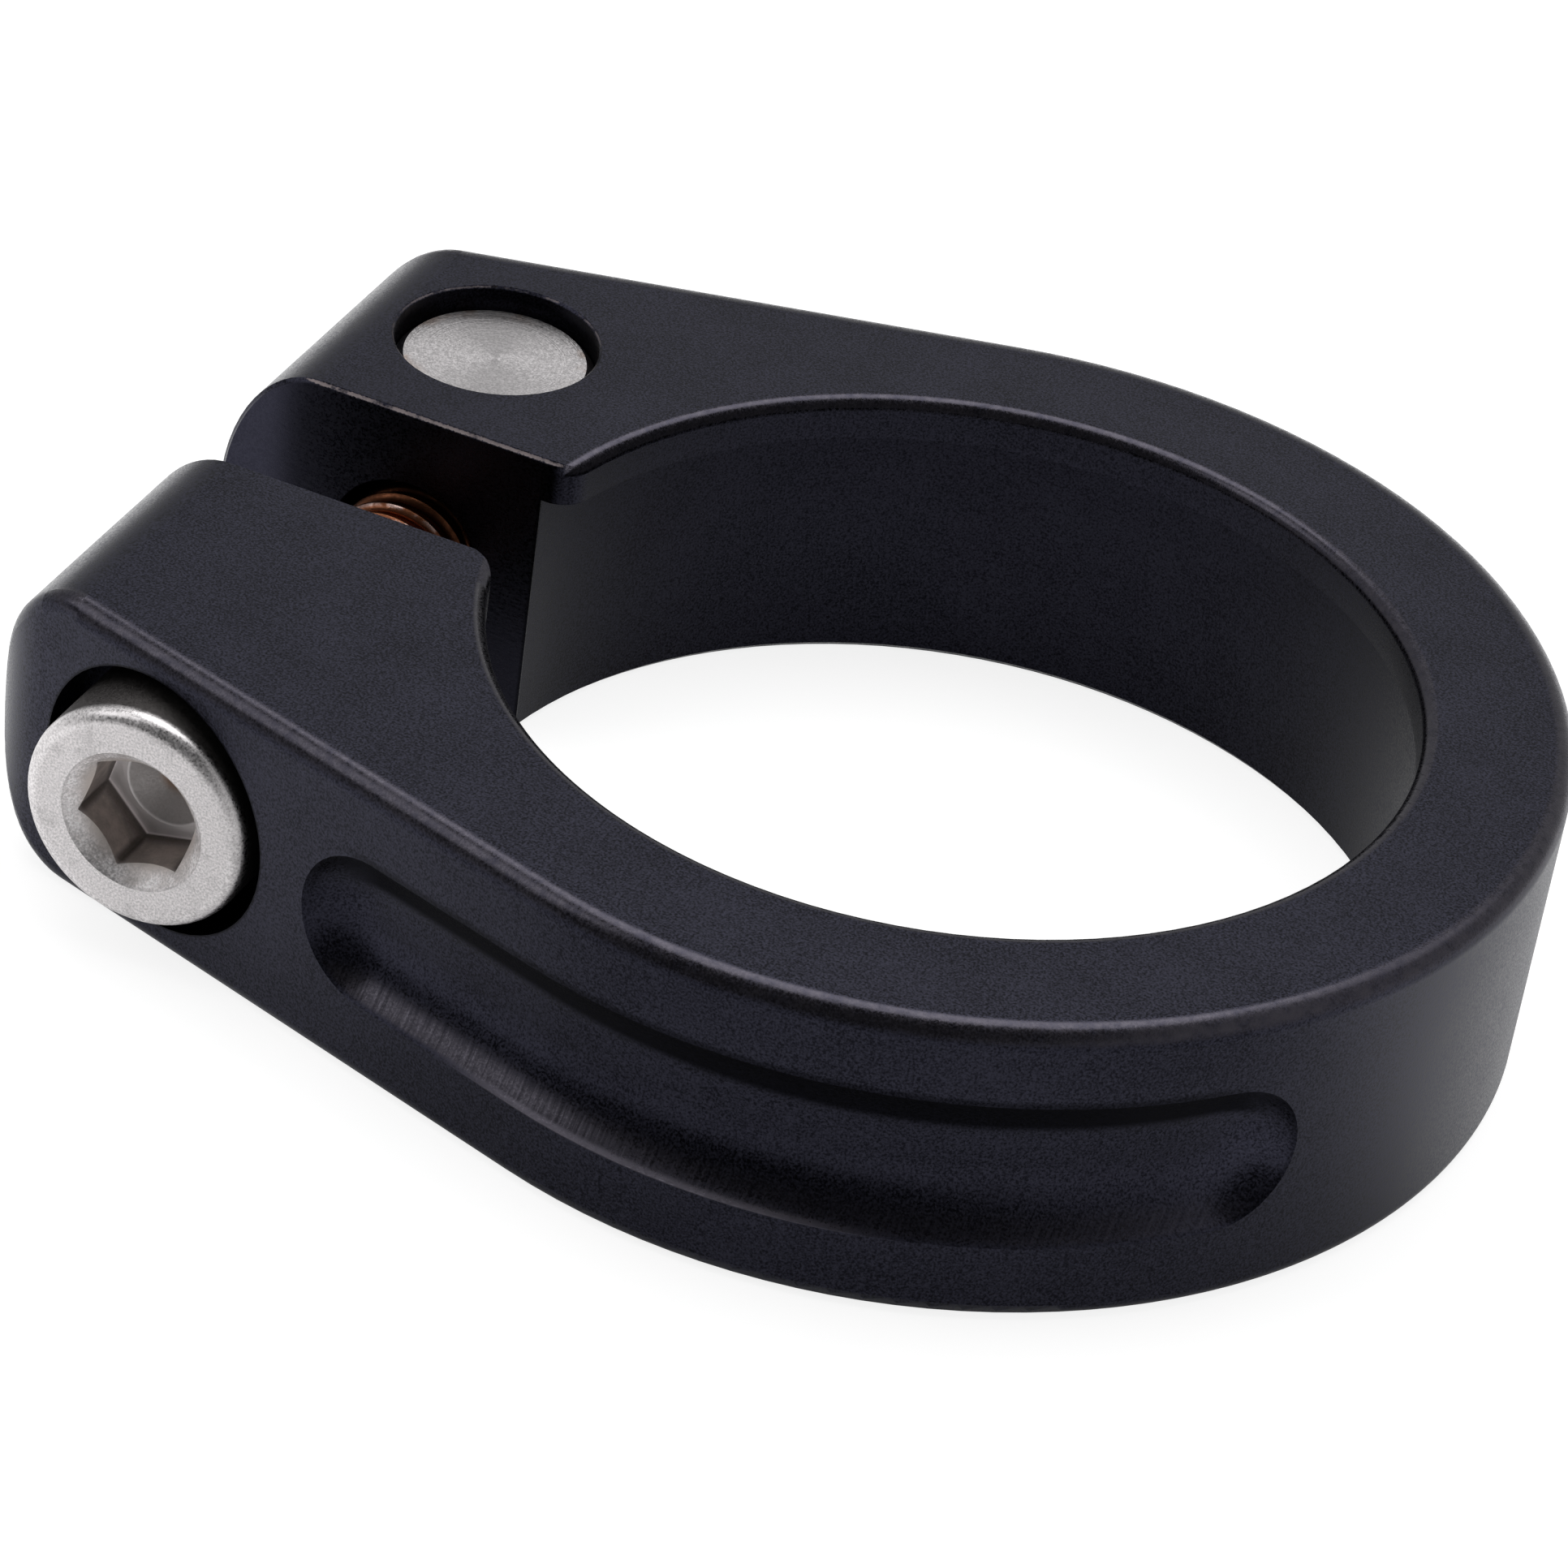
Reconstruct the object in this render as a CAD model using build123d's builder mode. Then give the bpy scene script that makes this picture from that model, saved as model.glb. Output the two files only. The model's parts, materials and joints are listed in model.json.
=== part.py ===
"""Seatpost clamp: a slotted one-piece collar, drawn together by a socket head screw and a barrel nut.

The origin is on the bore's axis at the collar's lower face, with +Z up. The ears point to -X, the slot
between them lies along X, and the screw lies along Y with its head at -Y.
"""

import os
from math import cos, degrees, radians, sin, sqrt, tan

from build123d import *

# Collar ring
bore_diameter = 34.9
ring_wall = 4.15
collar_height = 11.8
lip_diameter = 32.6
lip_thickness = 1.7
outer_edge_radius = 0.6
lip_edge_radius = 0.45
bore_edge_break = 0.25

# Ears and the slot between them
flank_angle = 16.4
ear_reach = 30.1
ear_overrun = 0.6
ear_corner_radius = 4.0
nose_length = 3.75
slot_width = 6.5
slot_shift = -0.5
slot_front_corner_radius = 2.2
slot_rear_corner_radius = 1.2
slot_edge_break = 0.15

# Relief pocket along each side, from the ear round to an angle before the +X axis
pocket_width = 5.8
pocket_depth = 1.4
pocket_corner_radius = 2.5
pocket_ear_end = 15.6
pocket_ring_end = 33.5

# Clamp bolt
screw_diameter = 5.0
screw_length = 25.0
screw_x = -22.4
grip_length = 7.0
thread_depth = 0.45
tip_chamfer = 0.5
head_diameter = 8.5
head_height = 5.0
head_rim_radius = 0.6
head_stand_out = 1.5
hex_size = 4.0
hex_depth = 2.6
hex_turn = 14.0
hex_mouth_diameter = 5.4
drill_point_diameter = 3.2
drill_point_angle = 118.0

# Barrel nut
nut_diameter = 7.5
nut_y = 9.25
nut_recess = 0.8
nut_edge_chamfer = 0.35
nut_hole_edge_break = 0.1

# Radial clearances, and the gaps left under the head and before the tip
nut_clearance = 0.05
thread_clearance = 0.1
screw_hole_clearance = 0.5
head_side_clearance = 0.65
head_seat_clearance = 0.12
tip_clearance = 1.0

bore_radius = bore_diameter / 2
lip_radius = lip_diameter / 2
outer_radius = bore_radius + ring_wall
bore_height = collar_height - lip_thickness
mid_height = collar_height / 2
flank_sine = sin(radians(flank_angle))
flank_cosine = cos(radians(flank_angle))
tangent_x = -outer_radius * flank_sine
tangent_y = outer_radius * flank_cosine
plan_end = -ear_reach - ear_overrun
nose_centre = -ear_reach + nose_length
slot_reach = ear_reach + outer_radius


def flank_y(x):
    """Distance from the XZ plane out to the flank's face at x."""
    return (outer_radius + flank_sine * x) / flank_cosine


screw_radius = screw_diameter / 2
core_radius = screw_radius - thread_depth
head_radius = head_diameter / 2
head_face_y = -flank_y(screw_x) - head_stand_out
head_seat_y = head_face_y + head_height
grip_end_y = head_seat_y + grip_length
tip_y = head_seat_y + screw_length
mouth_radius = hex_mouth_diameter / 2
mouth_tip_y = head_face_y + mouth_radius
hex_floor_y = head_face_y + hex_depth
drill_point_radius = drill_point_diameter / 2
drill_point_y = hex_floor_y + drill_point_radius / tan(radians(drill_point_angle / 2))
counterbore_floor_y = head_seat_y + head_seat_clearance
screw_axis = Axis((screw_x, 0, mid_height), (0, 1, 0))
screw_section = Plane((screw_x, 0, mid_height), x_dir=(0, 1, 0), z_dir=(1, 0, 0))

# Pocket cutter: one section run along the flank and round the ring, with a turned end at each limit
pocket_floor = outer_radius - pocket_depth
pocket_corner_reach = sqrt(pocket_corner_radius**2 - max(pocket_corner_radius - pocket_depth, 0) ** 2)
pocket_half_width = pocket_width / 2 - pocket_corner_reach + pocket_corner_radius
pocket_cut = pocket_depth + pocket_corner_radius
pocket_run = (pocket_ear_end + tangent_x) / flank_cosine - pocket_width / 2
pocket_end_turn = degrees(pocket_width / 2 / outer_radius)
pocket_sweep = 90 + flank_angle - pocket_ring_end - pocket_end_turn
flank_outward = Vector(-flank_sine, -flank_cosine, 0)
ring_end_outward = flank_outward.rotate(Axis.Z, pocket_sweep)


def upright_section(outward):
    """Plane on the bore's axis at mid height, its x pointing outward and its y up."""
    return Plane((0, 0, mid_height), x_dir=outward, z_dir=outward.cross(Vector(0, 0, 1)))


flank_section = upright_section(flank_outward)
with BuildPart() as pocket_cutter:
    with BuildSketch(flank_section) as section:
        with Locations((pocket_floor, 0)):
            Rectangle(pocket_cut, 2 * pocket_half_width, align=(Align.MIN, Align.CENTER))
        fillet(section.vertices().group_by(Axis.X)[0], pocket_corner_radius)
    extrude(amount=pocket_run)
    revolve(section.sketch, axis=Axis.Z, revolution_arc=pocket_sweep)
    for end_section in (flank_section.offset(pocket_run), upright_section(ring_end_outward)):
        with BuildSketch(end_section) as half_section:
            with Locations((pocket_floor, 0)):
                Rectangle(pocket_cut, pocket_half_width, align=(Align.MIN, Align.MIN))
            fillet(half_section.vertices().group_by(Axis.X)[0].sort_by(Axis.Y)[-1], pocket_corner_radius)
        revolve(axis=Axis(end_section.origin, end_section.x_dir))
    mirror(about=Plane.XZ)

with BuildPart() as collar:
    # Plan outline: the ring and two flanks tangent to it
    with BuildSketch() as plan:
        with BuildLine():
            ThreePointArc((tangent_x, -tangent_y), (outer_radius, 0), (tangent_x, tangent_y))
            Polyline(
                (tangent_x, tangent_y),
                (plan_end, flank_y(plan_end)),
                (plan_end, -flank_y(plan_end)),
                (tangent_x, -tangent_y),
            )
        make_face()
        fillet(plan.vertices().group_by(Axis.X)[0], ear_corner_radius)
    extrude(amount=collar_height)

    # Side view: the ears end in a full elliptic nose, which stops short of the plan outline's end
    with BuildSketch(Plane.XZ):
        with Locations((nose_centre, mid_height)):
            Ellipse(nose_length, mid_height)
            Rectangle(2 * slot_reach, collar_height, align=(Align.MIN, Align.CENTER))
    extrude(amount=slot_reach, both=True, mode=Mode.INTERSECT)
    rim = collar.edges() - collar.edges().filter_by(Axis.Z) - collar.edges().filter_by(Axis.Y)
    fillet(rim, outer_edge_radius)

    # Slot between the ears, its edges broken
    with Locations((0, slot_shift, 0)):
        slot_side = (Align.MAX, Align.CENTER, Align.MIN)
        Box(slot_reach, slot_width, collar_height, align=slot_side, mode=Mode.SUBTRACT)
    slot_edges = ShapeList()
    for face in collar.faces(Select.LAST).filter_by(Axis.Y):
        slot_edges += face.edges() - face.edges().filter_by(Axis.Z)
    chamfer(slot_edges, slot_edge_break)

    # Ring opening: the bore for the tube, and over it the lip that stops on the tube's end
    with BuildSketch(Plane.XZ):
        with BuildLine():
            Polyline(
                (0, 0),
                (bore_radius + bore_edge_break, 0),
                (bore_radius, bore_edge_break),
                (bore_radius, bore_height),
                (lip_radius, bore_height),
                (lip_radius, collar_height - lip_edge_radius),
            )
            RadiusArc(
                (lip_radius, collar_height - lip_edge_radius),
                (lip_radius + lip_edge_radius, collar_height),
                lip_edge_radius,
            )
            Polyline((lip_radius + lip_edge_radius, collar_height), (0, collar_height), (0, 0))
        make_face()
    revolve(axis=Axis.Z, mode=Mode.SUBTRACT)

    # Corners rounded where the slot leaves the lip, which the bore cuts back to sharp ones below it
    with BuildSketch() as opening:
        Circle(lip_radius)
        with Locations((0, slot_shift)):
            Rectangle(slot_reach, slot_width, align=(Align.MAX, Align.CENTER))
        for end, radius in ((0, slot_front_corner_radius), (-1, slot_rear_corner_radius)):
            corners = opening.vertices().filter_by_position(Axis.X, -lip_radius, -lip_radius / 2)
            fillet(corners.sort_by(Axis.Y)[end], radius)
    extrude(amount=collar_height, mode=Mode.SUBTRACT)

    add(pocket_cutter.part, mode=Mode.SUBTRACT)

    # Screw hole with its counterbore in the front ear, and the nut's hole in the rear ear
    with Locations(Plane((screw_x, -outer_radius, mid_height), z_dir=(0, -1, 0))):
        CounterBoreHole(
            radius=screw_radius + screw_hole_clearance,
            counter_bore_radius=head_radius + head_side_clearance,
            counter_bore_depth=outer_radius + counterbore_floor_y,
            depth=outer_radius + tip_y + tip_clearance,
        )
    with Locations((screw_x, nut_y, collar_height)):
        Hole(nut_diameter / 2 + nut_clearance)
    hole_edges = collar.edges(Select.LAST).filter_by(GeomType.LINE, reverse=True)
    hole_rims = hole_edges.filter_by_position(Axis.Z, collar_height - nut_recess, collar_height)
    hole_rims += hole_edges.filter_by_position(Axis.Z, 0, nut_recess)
    chamfer(hole_rims, nut_hole_edge_break)

with BuildPart() as clamp_bolt:
    with BuildSketch(screw_section):
        with BuildLine():
            Polyline(
                (head_face_y, 0),
                (head_face_y, head_radius),
                (head_seat_y, head_radius),
                (head_seat_y, screw_radius),
                (grip_end_y, screw_radius),
                (grip_end_y, core_radius),
                (tip_y, core_radius),
                (tip_y, 0),
                close=True,
            )
        make_face()
    revolve(axis=screw_axis)
    turned_edges = clamp_bolt.edges().filter_by(GeomType.CIRCLE).group_by(Axis.Y)
    fillet(turned_edges[0], head_rim_radius)
    chamfer(turned_edges[-1], tip_chamfer)

    # Hex socket: broached flats, a coned mouth and the drill's point below the floor
    head_face = Plane((screw_x, head_face_y, mid_height), x_dir=(1, 0, 0), z_dir=(0, -1, 0))
    with BuildSketch(head_face):
        RegularPolygon(hex_size / 2, side_count=6, major_radius=False, rotation=hex_turn)
    extrude(amount=-hex_depth, mode=Mode.SUBTRACT)
    with BuildSketch(screw_section):
        with BuildLine():
            Polyline((head_face_y, 0), (head_face_y, mouth_radius), (mouth_tip_y, 0), close=True)
        make_face()
        with BuildLine():
            Polyline((hex_floor_y, 0), (hex_floor_y, drill_point_radius), (drill_point_y, 0), close=True)
        make_face()
    revolve(axis=screw_axis, mode=Mode.SUBTRACT)

with BuildPart() as barrel_nut:
    nut_height = collar_height - 2 * nut_recess
    with Locations((screw_x, nut_y, mid_height)):
        Cylinder(nut_diameter / 2, nut_height)
    chamfer(barrel_nut.edges().filter_by(GeomType.CIRCLE), nut_edge_chamfer)
    with BuildSketch(Plane.XZ.offset(-nut_y)):
        with Locations((screw_x, mid_height)):
            Circle(screw_radius + thread_clearance)
    extrude(amount=nut_diameter, both=True, mode=Mode.SUBTRACT)

os.makedirs("parts", exist_ok=True)
collar.part.label = "collar"
export_step(collar.part, "parts/collar.step")
clamp_bolt.part.label = "clamp_bolt"
export_step(clamp_bolt.part, "parts/clamp_bolt.step")
barrel_nut.part.label = "barrel_nut"
export_step(barrel_nut.part, "parts/barrel_nut.step")
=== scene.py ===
"""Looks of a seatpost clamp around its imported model: the finishes, the bolt's thread and a small studio."""

import json
from math import cos, pi, radians, sin
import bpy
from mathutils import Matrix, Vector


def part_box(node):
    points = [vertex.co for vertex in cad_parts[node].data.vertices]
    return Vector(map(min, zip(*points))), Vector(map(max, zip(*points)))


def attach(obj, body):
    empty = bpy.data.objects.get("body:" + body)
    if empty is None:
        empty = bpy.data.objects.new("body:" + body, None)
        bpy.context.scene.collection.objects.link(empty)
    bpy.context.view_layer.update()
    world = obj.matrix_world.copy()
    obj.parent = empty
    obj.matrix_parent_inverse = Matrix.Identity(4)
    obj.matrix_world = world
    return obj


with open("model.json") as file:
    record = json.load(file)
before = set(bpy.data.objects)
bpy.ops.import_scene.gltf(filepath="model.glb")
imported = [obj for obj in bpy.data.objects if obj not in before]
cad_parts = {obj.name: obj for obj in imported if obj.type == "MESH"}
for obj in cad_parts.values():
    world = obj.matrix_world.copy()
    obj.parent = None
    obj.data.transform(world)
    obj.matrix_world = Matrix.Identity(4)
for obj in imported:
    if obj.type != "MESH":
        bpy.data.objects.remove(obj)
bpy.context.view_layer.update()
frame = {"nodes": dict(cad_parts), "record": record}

from types import SimpleNamespace

import bpy
from bpy.props import FloatProperty, FloatVectorProperty, IntProperty, PointerProperty
from mathutils import Matrix, Vector

bl_info = {
    "name": "Seatpost clamp looks",
    "version": (1, 0, 0),
    "blender": (4, 5, 0),
    "location": "3D View > Sidebar > Seatpost clamp",
    "description": "Dresses the packed seatpost clamp: finishes, the bolt's thread and a small studio",
    "category": "Object",
}

MM = 0.001
IMAGE_SIDE = 1932
SENSOR_WIDTH = 36.0
CLIP_RATIO = 100
WHITE = (1.0, 1.0, 1.0)

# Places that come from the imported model, in metres
COLLAR_LOW, COLLAR_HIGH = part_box("collar")
BOLT_LOW, BOLT_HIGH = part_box("clamp_bolt")
NUT_LOW, NUT_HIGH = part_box("barrel_nut")
BOLT_CENTRE = (BOLT_LOW + BOLT_HIGH) / 2
NUT_CENTRE = (NUT_LOW + NUT_HIGH) / 2
MOUNTS = {mount["name"]: mount for mount in frame["record"]["mounts"]}

# Forms of the collar that its finish follows, in millimetres; the rim's radii are those that it shades as
BORE_RADIUS = MOUNTS["seat_tube_bore"]["dims"]["r_mm"]
LIP_RADIUS = MOUNTS["seatpost_passage"]["dims"]["r_mm"]
OUTER_RADIUS = COLLAR_HIGH.x / MM
TOP_Z = COLLAR_HIGH.z / MM
MIDDLE_Z = BOLT_CENTRE.z / MM
LIP_Z = 10.1
EAR_END_X = COLLAR_LOW.x / MM
NOSE_LENGTH = 3.75
NOSE_X = EAR_END_X + NOSE_LENGTH
FLANK_ANGLE = radians(16.4)
SLOT_Y = -0.5
SLOT_HALF_WIDTH = 3.25
SLOT_CORNER_Y = -5.75
SLOT_EDGE_BREAK = 0.15
HEAD_HOLE_RADIUS = 4.9
SCREW_HOLE_RADIUS = 3.0
NUT_HOLE_RADIUS = 3.8
NUT_EDGE_BREAK = 0.1
POCKET_HALF_WIDTH = 2.9
POCKET_EAR_END_X = -15.6
RIM_RADIUS = 0.8
LIP_RIM_RADIUS = 0.5

# Forms of the bolt that its finish follows, in millimetres
HEAD_RADIUS = 4.25
HEX_TURN = radians(14.0)
HEX_HALF_SIDE = radians(30)
HEX_DEPTH = 2.6
HEX_MOUTH_RADIUS = 2.7
CREST_RADIUS = 2.5

# Fades of the collar's masks in millimetres: a fade is where a mask starts and where it is full, counted from
# the form that it follows, and a span is where it starts, is full, is full for the last time and ends; the
# pocket's shade is a painted shade on its upper wall, its sill is the lower wall, which has a painted light,
# and its brow shade is a painted shade on the outer face just over it
HOLE_FADE = (0.1, 0.02)
BORE_FADE = (0.17, 0.05)
BORE_TOP_FADE = (0.35, 0.5)
LIP_FADE = (0.0, 0.1)
SLOT_FADE = (0.06, 0.01)
SLOT_X_FADE = (-14.0, -15.5)
SLOT_END_FADE = (3.4, 1.6)
SLOT_EDGE_X_FADE = (-16.0, -14.0)
HEAD_HOLE_Y_FADE = (-11.8, -12.1)
SCREW_HOLE_Y_SPAN = (3.9, 4.1, 14.2, 14.6)
NUT_HOLE_TOP_FADE = (0.06, 0.12)
POCKET_DEPTH_FADE = (0.03, 0.25)
POCKET_WIDTH_FADE = (0.15, -0.05)
POCKET_EAR_FADE = (-0.4, 0.2)
POCKET_WALL_FADE = (0.2, 0.4)
POCKET_END_X_FADE = (14.4, 17.0)
POCKET_MARKS_Z_FADE = (5.0, 4.2)
SHADE_Z_FADE = (6.65, 7.05)
SHADE_X_SPAN = (-14.8, -12.8, 15.8, 17.4)
SILL_Z_FADE = (3.95, 3.35)
SILL_X_FADE = (6.0, -6.0)
SILL_EDGE_Z_SPAN = (2.94, 3.0, 3.06, 3.16)
SILL_EDGE_X_SPAN = (-10.0, -5.0, 3.0, 8.0)
SILL_EDGE_DEPTH_FADE = (0.6, 0.4)
BROW_DEPTH_FADE = (0.12, 0.06)
BROW_Z_SPAN = (8.6, 8.75, 8.9, 9.12)
BROW_X_SPAN = (-14.4, -12.8, 15.6, 17.0)
RIM_FADE = (RIM_RADIUS, 0.7 * RIM_RADIUS)
RIM_TOP_FADE = (0.6, 0.3)
LIP_RIM_FADE = (LIP_RIM_RADIUS, 0.4)
LIP_RIM_TOP_FADE = (0.5, 0.3)
NOSE_FADE = (-0.3, -2.0)

# Fades of the bolt's and the nut's masks, in the same way; depth is counted from the head's face
MOUTH_FADE = (0.05, -0.02)
CONE_DEPTH_FADE = (0.03, 0.12)
SOCKET_DEPTH_FADE = (0.25, 0.75)
HEX_CORNER_FADE = (0.3, 0.05)
HEX_FOOT_SPAN = (1.7, 2.4, 2.58, 2.6)
HEX_FLOOR_FADE = (-0.15, -0.04)
DRILLED_FADE = (0.01, 0.06)
DRILL_TIP_FADE = (0.75, 0.4)
HEAD_SIDE_FADE = (-0.35, -0.1)
HEAD_SIDE_DEPTH_FADE = (0.3, 0.7)
HEAD_RIM_FADE = (-0.65, -0.4)
HEAD_RIM_DEPTH_FADE = (0.7, 0.5)
THREADED_DEPTH_FADE = (11.4, 12.0)
CREST_FADE = (-0.14, -0.03)
# Painted shade on the paste towards the rear ear: full beyond the first place, none short of the second
PASTE_SHADE_Y_FADE = (2.4, 1.2)
NUT_STAIN_FADE = (2.7, 3.5)

# Part of the dye's colour that each machined place of the collar shows: a part under one is a painted shade,
# in the bore, the holes, the slot, the pocket, its upper wall and the face just over it, and a part over one
# is a painted light, on the lip against the bore, at the slot's open end and at the pocket's far end
DYE_PAINTED_SHADE_AND_LIGHT = {
    "bore": 0.45,
    "lip": 1.3,
    "slot": 0.5,
    "slot_end": 2.2,
    "head_hole": 0.3,
    "screw_hole": 0.25,
    "nut_hole": 0.3,
    "pocket": 0.95,
    "pocket_shade": 0.25,
    "pocket_end": 1.5,
    "brow": 0.45,
}

# Lines of a cutter to the millimetre along X, Y and Z
POCKET_MARKS = (6.5, 0.0, 0.3)
SLOT_MARKS = (2.4, 1.0, 7.0)
SOCKET_MARKS = (8.0, 0.5, 8.0)
RING_MARKS = (11.0, 1.0, 1.0)

# Width of one grain of the steel in millimetres, and heights of the relief in metres
HEAD_GRAIN = 0.085
HEAD_GRAIN_DEPTH = 0.004 * MM
NUT_GRAIN = 0.08
NUT_GRAIN_DEPTH = 0.0015 * MM
CUT_DEPTH = 0.012 * MM
SOCKET_CUT_DEPTH = 0.01 * MM
PASTE_DEPTH = 0.02 * MM

# Thread ridge: the part of its depth that is sunk in the core, the part of its section that it has at its
# two ends, and the part that it gains in a turn from there
THREAD_SINK = 0.2
THREAD_START = 0.05
THREAD_SWELL = 1.5

# Light tent: the way to its opening, and the cosines from that way between which it dims
TENT_OPENING = (-0.1, -0.7, 0.7)
TENT_FADE = (0.45, 0.8)

# Floor: half its side in metres, the way to the part that is dimmer in metal, and the cosines of its edge
FLOOR_HALF = 1.5
FLOOR_FRONT = (sin(radians(20)), -cos(radians(20)), 0.0)
FLOOR_FADE = (0.35, 0.75)

# Softboxes: name, place and size in metres, the setting of the brightness and the part of it that is used
SOFTBOXES = (
    ("overhead_softbox", (-0.055, 0.1, 0.44), (0.42, 0.34), "softbox_level", 1.0),
    ("side_softbox", (-0.34, -0.17, 0.34), (0.2, 0.25), "side_level", 1.0),
    ("right_softbox", (0.2, 0.28, 0.42), (0.2, 0.22), "side_level", 0.5),
)


class AnodisedFinish(bpy.types.PropertyGroup):
    """Black anodised aluminium over a fine blast."""

    colour: FloatVectorProperty(
        name="Colour", description="Mirror colour of the dyed oxide", subtype="COLOR", min=0, max=1,
        default=(0.026, 0.026, 0.038))
    rim_colour: FloatVectorProperty(
        name="Rim colour", description="Warmer colour where the dye is thin, on the rounded rims",
        subtype="COLOR", min=0, max=1, default=(0.060, 0.056, 0.068))
    worn_colour: FloatVectorProperty(
        name="Worn colour", description="Bare metal on rubbed edges", subtype="COLOR", min=0, max=1,
        default=(0.34, 0.29, 0.29))
    roughness: FloatProperty(
        name="Roughness", description="Mean roughness of the satin surface", min=0, max=1, default=0.38)
    grain_size: FloatProperty(
        name="Grain size", description="Width of one dimple of the blast", unit="LENGTH", default=0.085 * MM)
    grain_depth: FloatProperty(
        name="Grain depth", description="Depth of the dimples", unit="LENGTH", default=0.0035 * MM)
    wear_width: FloatProperty(
        name="Wear width", description="Width of the rubbed line along an edge", unit="LENGTH",
        default=0.085 * MM)


class SteelFinish(bpy.types.PropertyGroup):
    """Stainless steel of the bolt and the nut."""

    colour: FloatVectorProperty(
        name="Colour", description="Colour of the clean steel", subtype="COLOR", min=0, max=1,
        default=(0.70, 0.675, 0.68))
    stain_colour: FloatVectorProperty(
        name="Socket colour", description="Colour of the oiled steel inside the socket", subtype="COLOR",
        min=0, max=1, default=(0.72, 0.65, 0.61))
    rust_colour: FloatVectorProperty(
        name="Rust colour", description="Brown stain in the drill's point and on the nut", subtype="COLOR",
        min=0, max=1, default=(0.34, 0.20, 0.12))
    paste_colour: FloatVectorProperty(
        name="Paste colour", description="Colour of the assembly paste on the thread", subtype="COLOR",
        min=0, max=1, default=(0.40, 0.15, 0.075))
    roughness: FloatProperty(
        name="Roughness", description="Mean roughness of the steel", min=0, max=1, default=0.5)


class ThreadSizes(bpy.types.PropertyGroup):
    """Sizes of the bolt's thread ridge, which stands on the bolt's core."""

    pitch: FloatProperty(
        name="Pitch", description="Distance from one turn to the next", unit="LENGTH", default=0.8 * MM)
    core_diameter: FloatProperty(
        name="Core diameter", description="Diameter at the root", unit="LENGTH", default=4.1 * MM)
    crest_diameter: FloatProperty(
        name="Crest diameter", description="Diameter over the crests", unit="LENGTH", default=5.0 * MM)
    root_width: FloatProperty(
        name="Root width", description="Width of the ridge at the core", unit="LENGTH", default=0.66 * MM)
    crest_width: FloatProperty(
        name="Crest width", description="Width of the ridge at its crest", unit="LENGTH", default=0.12 * MM)
    length: FloatProperty(
        name="Length", description="Length of the threaded part of the shank", unit="LENGTH",
        default=17.2 * MM)
    tip_margin: FloatProperty(
        name="Tip margin", description="Bare length left at the tip", unit="LENGTH", default=0.45 * MM)
    steps: IntProperty(
        name="Steps", description="Steps in each turn", min=12, default=64)


class StudioSettings(bpy.types.PropertyGroup):
    """Camera, lights and floor."""

    azimuth: FloatProperty(
        name="Azimuth", description="Where the camera stands round the object", subtype="ANGLE",
        default=radians(19.26))
    elevation: FloatProperty(
        name="Elevation", description="Height of the camera over the floor", subtype="ANGLE",
        default=radians(34.69))
    roll: FloatProperty(
        name="Roll", description="Turn of the camera about its own axis", subtype="ANGLE",
        default=radians(8.43))
    distance: FloatProperty(
        name="Distance", description="From the aim to the camera", unit="LENGTH", default=211.87 * MM)
    focal_pixels: FloatProperty(
        name="Focal length in pixels", description="Focal length in pixels of the full image", default=7108.0)
    aim: FloatVectorProperty(
        name="Aim", description="Point at the middle of the image", subtype="TRANSLATION",
        default=(-7.41 * MM, 5.29 * MM, 0))
    floor_colour: FloatVectorProperty(
        name="Floor colour", description="Colour of the paper floor", subtype="COLOR", min=0, max=1,
        default=(0.86, 0.86, 0.86))
    floor_lift: FloatProperty(
        name="Floor lift", description="White that the eye sees on the floor, in light and shadow",
        min=0, max=1, default=0.84)
    mirror_lift: FloatProperty(
        name="Mirror lift", description="White of the floor that shows in metal", min=0, max=1, default=0.4)
    floor_shade: FloatProperty(
        name="Floor shade", description="Part of the floor's own light that the eye sees", min=0, max=1,
        default=0.45)
    front_shade: FloatProperty(
        name="Front shade", description="Part of the floor before the object that shows in metal",
        min=0, max=1, default=0.6)
    pale_level: FloatProperty(
        name="Pale level", description="Brightness of the walls of the light tent", min=0, default=0.56)
    front_level: FloatProperty(
        name="Front level", description="Brightness of the tent's opening, over the camera", min=0,
        default=0.1)
    softbox_level: FloatProperty(
        name="Softbox level", description="Brightness of the overhead softbox", min=0, default=2.5)
    side_level: FloatProperty(
        name="Side level", description="Brightness of the softbox beside the ears, and twice the right one's",
        min=0, default=1.8)


class ClampSettings(bpy.types.PropertyGroup):
    """All settings of the clamp's looks."""

    anodised: PointerProperty(type=AnodisedFinish)
    steel: PointerProperty(type=SteelFinish)
    thread: PointerProperty(type=ThreadSizes)
    studio: PointerProperty(type=StudioSettings)


def settings():
    """The clamp's settings in the current scene."""
    return bpy.context.scene.seatpost_clamp


class Value:
    """A number that changes over a surface, with plain arithmetic."""

    def __init__(self, wiring, socket):
        self.wiring = wiring
        self.socket = socket

    def __add__(self, other):
        return self.wiring.maths("ADD", self, other)

    def __sub__(self, other):
        return self.wiring.maths("SUBTRACT", self, other)

    def __rsub__(self, other):
        return self.wiring.maths("SUBTRACT", other, self)

    def __mul__(self, other):
        return self.wiring.maths("MULTIPLY", self, other)

    def __abs__(self):
        return self.wiring.maths("ABSOLUTE", self)

    __rmul__ = __mul__


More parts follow.
